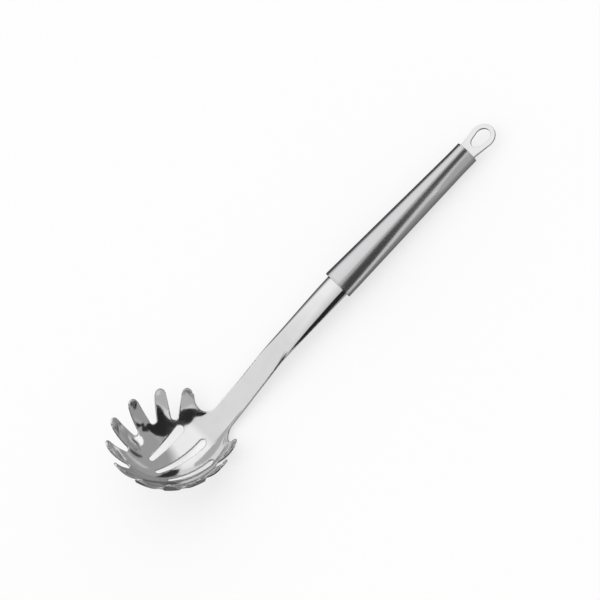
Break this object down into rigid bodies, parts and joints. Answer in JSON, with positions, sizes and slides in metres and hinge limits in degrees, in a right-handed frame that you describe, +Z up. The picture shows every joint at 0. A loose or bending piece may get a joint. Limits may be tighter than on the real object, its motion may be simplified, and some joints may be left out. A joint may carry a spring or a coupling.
{
  "type": "pasta server",
  "caption": "Long-handled steel pasta server: slotted, tined scoop on a rolled shank, hollow tapered handle and flat hanging loop.",
  "frame": {"origin": "middle of the whole object's box, at the height of the table that the server lies on", "axes": "+X along the server from the scoop towards the hanging loop, +Y to its side, +Z up"},
  "size_m": [0.3188, 0.083, 0.0537],
  "materials": {
    "polished_steel": "mirror polished stainless steel",
    "brushed_steel": "satin, finely brushed along the handle",
    "satin_cap": "satin with a bright rim",
    "loop_steel": "bright tumbled steel"
  },
  "bodies": {
    "root": {"server_head": "polished_steel", "handle_tube": "brushed_steel", "front_cap": "satin_cap", "rear_cap": "satin_cap", "hanging_loop": "loop_steel"}
  },
  "joints": []
}
